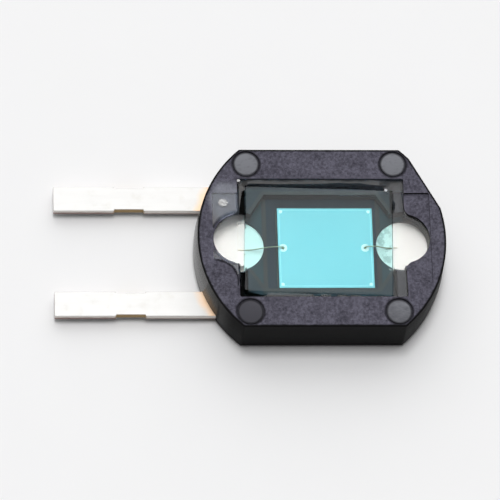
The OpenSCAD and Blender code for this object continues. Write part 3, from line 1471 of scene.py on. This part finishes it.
@dataclass
class BondWire:
    """A bond wire: the ball on the die, the loop and the end that lies flat on the lead."""

    node: str
    start: Vector
    finish_at: Vector
    top_z: float
    thickness: float = 0.032
    ball_r: float = 0.045
    ball_h: float = 0.035
    bend: float = 0.12
    stitch: float = 0.12

    def _route(self) -> list[Vector]:
        """Points along the middle of the wire.

        Returns:
            The points, from the ball to the flat end.
        """
        level = Vector((self.finish_at.x - self.start.x, self.finish_at.y - self.start.y, 0))
        run = level.length - self.stitch
        ahead = level.normalized()
        neck = self.start + self.ball_h * UP
        landing_z = self.finish_at.z + self.thickness / 2
        rise = self.top_z - self.thickness / 2 - neck.z
        drop = neck.z + rise - landing_z
        route = [self.start + self.ball_h / 2 * UP]
        up_steps, down_steps = 8, 24
        for i in range(up_steps + 1):
            angle = math.pi / 2 * i / up_steps
            route.append(neck + self.bend * (1 - math.cos(angle)) * ahead + rise * math.sin(angle) * UP)
        for i in range(1, down_steps + 1):
            share = i / down_steps
            fallen = drop * (1 - math.cos(math.pi * share)) / 2
            route.append(neck + (self.bend + (run - self.bend) * share) * ahead + (rise - fallen) * UP)
        route.append(Vector((self.finish_at.x, self.finish_at.y, landing_z)))
        return route

    def build(self, material: Material) -> Object:
        """Makes and dresses the wire.

        Args:
            material: The gold.

        Returns:
            The piece.
        """
        curve = bpy.data.curves.new("loop", "CURVE")
        curve.dimensions = "3D"
        curve.bevel_depth = self.thickness / 2
        curve.bevel_resolution = 3
        curve.use_fill_caps = True
        route = self._route()
        spline = curve.splines.new("POLY")
        spline.points.add(len(route) - 1)
        for point, place in zip(spline.points, route):
            point.co = (*place, 1)
        drawn = add_object("loop", curve)
        bpy.context.view_layer.update()
        data = bpy.data.meshes.new_from_object(drawn.evaluated_get(bpy.context.evaluated_depsgraph_get()))
        bpy.data.objects.remove(drawn)
        mesh = bmesh.new()
        absorb(mesh, data)
        ball = bmesh.ops.create_uvsphere(mesh, u_segments=24, v_segments=12, radius=self.ball_r)["verts"]
        bmesh.ops.scale(mesh, vec=(1, 1, self.ball_h / 2 / self.ball_r), verts=ball)
        bmesh.ops.translate(mesh, vec=self.start + self.ball_h / 2 * UP, verts=ball)
        piece = solid(f"{self.node}_loop", mesh)
        return hand_in(piece, self.node, [material], sharp=60)


@dataclass
class FilterPlate:
    """The filter glass, turned a little in its seat."""

    finish: FilterGlass
    length: float = 4.34
    width: float = 3.3
    turn: float = math.radians(-2)
    arris: float = 0.02
    dry_above: float = 0.95

    def shape(self, grow: float = 0.0) -> BMesh:
        """The plate's bmesh.

        Args:
            grow: How far its faces are pushed outwards.

        Returns:
            The bmesh.
        """
        low, high = node_box("filter_plate")
        middle = (low + high) / 2
        half = Vector((self.length / 2 + grow, self.width / 2 + grow, (high.z - low.z) / 2 + grow))
        mesh = block(-half, half)
        bmesh.ops.rotate(mesh, matrix=Matrix.Rotation(self.turn, 3, "Z"), verts=mesh.verts)
        bmesh.ops.translate(mesh, vec=middle, verts=mesh.verts)
        return mesh

    def build(self) -> Object:
        """Makes and dresses the plate.

        Returns:
            The piece.
        """
        piece = solid("filter_glass_plate", self.shape())
        round_edges(piece, self.arris, 2)
        for face in piece.data.polygons:
            face.material_index = int(face.normal.z < self.dry_above)
        return hand_in(piece, "filter_plate", [self.finish.material(), self.finish.wetted()])


@dataclass(frozen=True)
class Void:
    """A place beside the filter that the resin left open down to the ledge."""

    outline: tuple[Point, ...]

    def tool(self, low: float, high: float) -> Object:
        """The solid that opens it, between two heights."""
        return solid("void", prism(self.outline, low, high))


@dataclass
class PottingResin:
    """The poured resin: it fills the window, sinks a little at the walls and has run over beside a well."""

    window: Window
    plate: FilterPlate
    finish: ClearResin
    level_z: float = 1.36
    climb: float = -0.010
    climb_y: Span = (-0.3, 0.3)
    reach: float = 0.05
    into_wall: float = 0.003
    into_pad: float = 0.004
    film_gap: float = 0.003
    grid: tuple[int, int] = (240, 140)
    back_rise: float = 0.07
    back_y: Span = (1.62, 1.68)
    back_left: Span = (-2.35, -2.05)
    back_right: Span = (2.1, 1.7)
    drop: Round = Round(-2.79, 1.0, 0.8)
    drop_high: float = 0.077
    drop_brow: int = 10
    drop_fall: float = 0.045
    lap: float = 0.06
    film_high: float = 0.022
    film_shore: float = 0.03
    # The caught bubble and the two beads wear the milky froth, which is partly painted highlight
    bubble_at: Triple = (-2.87, 1.10, 1.462)
    bubble_half: Triple = (0.14, 0.12, 0.02)
    bead_form: Triple = (1.0, 0.8, 0.6)
    beads: tuple[tuple[Triple, float], ...] = (((-2.40, 1.80, 1.45), 0.06), ((1.93, 1.50, 1.438), 0.055))
    # Behind the plate, at its left end, along its front edge and at its right end
    voids: tuple[Void, ...] = (
        Void((
            (-2.2, 1.6), (-2.1, 1.72), (-1.3, 1.7), (-0.6, 1.71), (0.1, 1.72), (0.6, 1.75), (0.9, 1.73),
            (1.2, 1.74), (1.4, 1.7), (1.63, 1.68), (1.8, 1.63), (2.0, 1.56), (2.05, 1.4), (0.0, 1.5),
        )),
        Void(((-2.3, 1.5), (-2.2, 1.55), (-2.2, 0.6), (-2.42, 0.55), (-2.38, 1.0))),
        Void((
            (-2.48, -1.5), (-2.3, -1.4), (-2.2, -1.5), (-1.6, -1.6), (-1.66, -1.76), (-1.85, -1.8),
            (-2.05, -1.88), (-2.48, -1.88),
        )),
        Void(((-2.42, -0.86), (-2.2, -0.80), (-2.2, -1.45), (-2.38, -1.45))),
        Void(((-0.34, -1.7), (-0.08, -1.7), (-0.1, -1.78), (-0.3, -1.77))),
        Void(((0.18, -1.7), (0.4, -1.7), (0.38, -1.82), (0.22, -1.8))),
        Void(((0.64, -1.7), (0.8, -1.7), (0.78, -1.79), (0.67, -1.78))),
        Void(((1.0, -1.7), (2.0, -1.72), (1.96, -1.8), (1.6, -1.77), (1.3, -1.79), (1.04, -1.77))),
        Void(((2.0, 1.5), (2.14, 1.42), (2.13, 1.25), (2.2, 1.15), (2.19, 0.95), (2.11, 0.84), (2.0, 0.9))),
        Void(((1.95, -0.85), (2.08, -0.9), (2.04, -1.1), (2.07, -1.3), (2.02, -1.5), (1.9, -1.45))),
    )

    def _overflow(self, x: float, y: float) -> float:
        """How high the resin that ran over stands on the pocket's floor.

        Args:
            x: Place along X.
            y: Place along Y.

        Returns:
            The height, or 0 where the floor is bare.
        """
        inside = max(-self.drop.beyond(x, y) / self.drop.r, 0.0)
        drop = self.drop_high * (1 - (1 - inside) ** self.drop_brow)
        behind = max(BAY.beyond(x, y), 0.0) if x < 0 else 0.0
        film = self.film_high * (1 - math.exp(-behind / self.film_shore)) * ease(y, BAY_BACK)
        return max(drop, film)

    def _height(self, x: float, y: float) -> float:
        """Height of the poured surface.

        Args:
            x: Place along X.
            y: Place along Y.

        Returns:
            The height.
        """
        window = self.window
        in_seat = min(window.seat_l / 2 - abs(x), window.seat_w / 2 - abs(y))
        in_well = window.well_r - math.hypot(abs(x) - window.well_x, y)
        ragged = 1 + 0.9 * math.sin(8.3 * x + 2.1 * y) * math.sin(5.1 * x - 6.7 * y + 0.8)
        sunk = self.climb * ragged * ease(y, self.climb_y)
        height = self.level_z + sunk * math.exp(-max(in_seat, in_well, 0.0) / self.reach)
        # Behind the plate it stands higher
        height += self.back_rise * ease(y, self.back_y) * ease(x, self.back_left) * ease(x, self.back_right)
        # Where it ran over, it comes up from its level at the seat and at the well
        from_well = math.hypot(x + window.well_x, y) - window.well_r
        from_seat = self.lap - window.seat_l / 2 - x
        ashore = max(min(from_well, from_seat), 0.0)
        skin = self._overflow(x, y)
        if skin > 0:
            height += (window.pocket_z + skin - height) * (1 - math.exp(-((ashore / self.drop_fall) ** 2)))
        return height

    def _poured(self) -> BMesh:
        """A block below the poured surface, larger than the window.

        Returns:
            Its bmesh.
        """
        long, wide = self.window.pocket_l / 2 + PAST, self.window.seat_w / 2 + PAST
        foot = self.window.parting_z - OVER
        mesh = bmesh.new()
        bmesh.ops.create_grid(mesh, x_segments=self.grid[0], y_segments=self.grid[1], size=1)
        bmesh.ops.scale(mesh, vec=(long, wide, 1), verts=mesh.verts)
        under = bmesh.ops.extrude_face_region(mesh, geom=list(mesh.faces))["geom"]
        lowered = {part for part in under if isinstance(part, BMVert)}
        for vert in mesh.verts:
            vert.co.z = foot if vert in lowered else self._height(vert.co.x, vert.co.y)
        return mesh

    def build(self) -> Object:
        """Makes and dresses the resin.

        Returns:
            The piece.
        """
        hollow, *steps = self.window.tools(grow=self.into_wall, sink=self.into_pad)
        carve(hollow, steps, Cut.ADD)
        carve(hollow, [solid("poured", self._poured())], Cut.KEEP_COMMON)
        room = solid("plate_room", self.plate.shape(self.film_gap))
        bubble = solid("bubble", pebble(self.bubble_at, self.bubble_half))
        beads = [solid("bead", pebble(place, r * Vector(self.bead_form))) for place, r in self.beads]
        skins = [self.finish.material(), self.finish.wetting(), self.finish.froth_and_glint()]
        for index, piece in ((0, hollow), (1, room), (2, bubble), *((2, bead) for bead in beads)):
            for skin in skins:
                piece.data.materials.append(skin)
            for face in piece.data.polygons:
                face.material_index = index
        carve(hollow, [room, bubble])
        low, high = self.window.seat_z - PAST, self.window.top_z + PAST
        carve(hollow, [void.tool(low, high) for void in self.voids])
        carve(hollow, beads, Cut.ADD)
        hollow.name = "poured_resin"
        return hand_in(hollow, "potting_resin", [], weighted=False)


# Studio


@dataclass(frozen=True)
class Studio:
    """The pale floor, the soft light from above and from behind, and the camera.

    The floor, the lamp and the camera's clip are in metres. The camera's place is in millimetres.
    """

    floor_half: float = 0.6
    lens_px: float = 4000.0
    frame_px: float = 500.0
    sensor_mm: float = 36.0
    clip: tuple[float, float] = (0.001, 10.0)
    tilt: Triple = (-21.632, 4.411, 1.732)
    look_offset: Point = (2.105, 0.371)
    distance: float = 116.52
    key_way: Triple = (-0.041, 0.139, 0.990)
    key_distance: float = 0.40
    key_size: tuple[float, float] = (0.083, 0.13)
    key_power: float = 0.76
    sky_way: Triple = (0.0, 0.757, 0.654)
    sky_start: float = 0.555
    sky_end: float = 0.97
    dim: float = 0.175
    bright: float = 2.18

    def _floor(self) -> None:
        """Lays the floor under the object."""
        mesh = bmesh.new()
        bmesh.ops.create_grid(mesh, x_segments=1, y_segments=1, size=self.floor_half)
        floor = solid("floor", mesh)
        floor.data.materials.append(PaperFloor().material())

    def _world(self) -> None:
        """Lights the room softly, brightest high up at the back."""
        world = bpy.data.worlds.new("studio")
        world.use_nodes = True
        bpy.context.scene.world = world
        tree = world.node_tree
        tree.nodes.clear()
        way = tree.nodes.new("ShaderNodeTexCoord")
        toward = tree.nodes.new("ShaderNodeVectorMath")
        toward.operation = "DOT_PRODUCT"
        toward.inputs[1].default_value = self.sky_way
        tree.links.new(way.outputs["Generated"], toward.inputs[0])
        strength = tree.nodes.new("ShaderNodeMapRange")
        strength.interpolation_type = "SMOOTHSTEP"
        strength.inputs["From Min"].default_value = self.sky_start
        strength.inputs["From Max"].default_value = self.sky_end
        strength.inputs["To Min"].default_value = self.dim
        strength.inputs["To Max"].default_value = self.bright
        tree.links.new(toward.outputs["Value"], strength.inputs["Value"])
        light = tree.nodes.new("ShaderNodeBackground")
        tree.links.new(strength.outputs[0], light.inputs["Strength"])
        end = tree.nodes.new("ShaderNodeOutputWorld")
        tree.links.new(light.outputs[0], end.inputs["Surface"])

    def _key(self) -> None:
        """Hangs the long soft lamp above the object."""
        lamp = bpy.data.lights.new("soft_key", "AREA")
        lamp.shape = "RECTANGLE"
        lamp.size, lamp.size_y = self.key_size
        lamp.energy = self.key_power
        hung = add_object("soft_key", lamp)
        way = Vector(self.key_way).normalized()
        hung.location = way * self.key_distance
        hung.rotation_euler = way.to_track_quat("Z", "Y").to_euler()

    def _camera(self, top_z: float) -> None:
        """Sets up the camera at the photograph's viewing angle.

        Args:
            top_z: Height of the body's top face, in millimetres.
        """
        turn = Matrix.Identity(3)
        for angle, axis in zip(self.tilt, "XYZ"):
            turn = turn @ Matrix.Rotation(math.radians(angle), 3, axis)
        facing = turn.transposed()
        seen = facing @ Vector((-self.look_offset[0], -self.look_offset[1], self.distance)) + top_z * UP
        camera = bpy.data.cameras.new("camera")
        camera.sensor_width = self.sensor_mm
        camera.lens = self.lens_px / self.frame_px * self.sensor_mm
        camera.clip_start, camera.clip_end = self.clip
        held = add_object("camera", camera)
        held.matrix_world = Matrix.Translation(seen * MM) @ facing.to_4x4()
        bpy.context.scene.camera = held

    def build(self, top_z: float) -> None:
        """Makes the studio.

        Args:
            top_z: Height of the body's top face, in millimetres.
        """
        self._floor()
        self._world()
        self._key()
        self._camera(top_z)
        bpy.context.scene.view_settings.view_transform = "Standard"


def main() -> None:
    """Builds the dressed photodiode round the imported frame."""
    logging.basicConfig(level=logging.INFO, format="%(name)s: %(message)s")
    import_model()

    _, body_high = node_box("package_body")
    lead_low, lead_high = node_box("anode_lead")
    shell = Shell(body_high.x, body_high.y, body_high.z, parting_z=lead_high.z)
    window = Window(top_z=body_high.z, parting_z=lead_high.z)
    PackageBody(shell, window, MouldedPlastic(shell, window)).build()

    plating = PlatedLead()
    plated = plating.material()
    for node, side, pad_x in (
        ("cathode_lead", Side.POSITIVE, -window.well_x),
        ("anode_lead", Side.NEGATIVE, window.well_x),
    ):
        Lead(
            node=node,
            side=side,
            pad_x=pad_x,
            tip_x=lead_low.x,
            top_z=lead_high.z,
            thickness=lead_high.z - lead_low.z,
            finish=plating,
        ).build(plated)

    border = FilmMetal(name="die_border", metal=(0.46, 0.79, 0.85), dull=(0.40, 0.73, 0.80))
    die = Die(CoatedSilicon(), FilmMetal(), border)
    die.build()
    DieAttach(Adhesive()).build()

    gold = BondGold().material()
    wire_ends = {"cathode_wire": Vector((-2.41, -0.11)), "anode_wire": Vector((2.28, -0.03))}
    for (node, end), pad_x in zip(wire_ends.items(), die.pads_x):
        BondWire(
            node=node,
            start=Vector((pad_x, die.middle_y, die.high.z + die.film_t)),
            finish_at=Vector((end.x, end.y, lead_high.z)),
            top_z=node_box(node)[1].z,
        ).build(gold)

    plate = FilterPlate(FilterGlass())
    plate.build()
    PottingResin(window, plate, ClearResin()).build()
    Studio().build(body_high.z)


if __name__ == "__main__":
    main()
